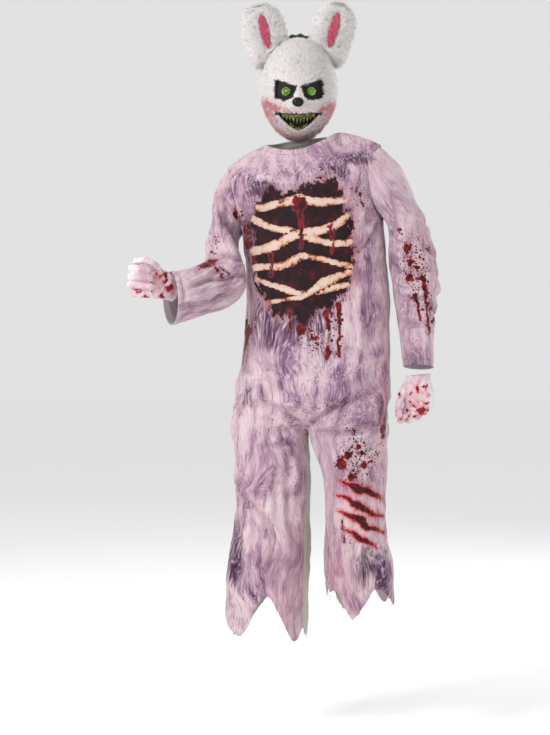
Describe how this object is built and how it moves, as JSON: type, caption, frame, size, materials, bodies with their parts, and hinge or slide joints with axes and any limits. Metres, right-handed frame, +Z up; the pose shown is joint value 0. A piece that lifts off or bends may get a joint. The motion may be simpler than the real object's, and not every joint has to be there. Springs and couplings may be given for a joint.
{
  "type": "zombie bunny costume",
  "caption": "Worn zombie rabbit costume: loose one-piece suit with a plain back and torn hems, plush long-eared face mask on elastic straps, and gloves",
  "frame": {"origin": "between the mask and the neckline at the base of the wearer's throat, where the wearer's shoulders hold the suit", "axes": "+Z up along the standing wearer, -Y the way the wearer faces, +X towards the wearer's left"},
  "size_m": [0.8168, 0.3705, 1.7364],
  "materials": {
    "printed_knit": "brushed polyester knit printed with pale pink and lilac fur streaks and dark stains",
    "plain_knit": "plain grey-beige polyester knit",
    "face_plush": "short pile plush with pink-red shading round the mouth",
    "ear_plush": "long pile plush over padding",
    "patch_plush": "dark pink plush with dark flecks",
    "lip_plush": "short nap plush",
    "green_foam": "moulded foam, yellow-green and worn",
    "green_button": "translucent moulded plastic",
    "nose_shell": "moulded, satin",
    "black_mesh": "fine see-through net",
    "black_elastic": "woven elastic",
    "glove_knit": "thin stretch knit with red stains"
  },
  "bodies": {
    "root": {"front_right": "printed_knit", "back_right": "plain_knit", "front_left": "printed_knit", "back_left": "plain_knit", "sleeve_right": "printed_knit", "sleeve_left": "printed_knit", "back_underlap": "plain_knit", "mask_face": "face_plush", "mouth_backing": "black_mesh", "teeth_upper": "green_foam", "teeth_lower": "green_foam", "lip_rim": "lip_plush", "nose": "nose_shell", "eye_mesh_right": "black_mesh", "eye_mesh_left": "black_mesh", "eye_light_right": "green_button", "eye_light_left": "green_button", "ear_right": "ear_plush", "ear_left": "ear_plush", "ear_patch_right": "patch_plush", "ear_patch_left": "patch_plush", "strap_side": "black_elastic", "strap_crown": "black_elastic", "glove_right": "glove_knit", "glove_left": "glove_knit"}
  },
  "joints": []
}
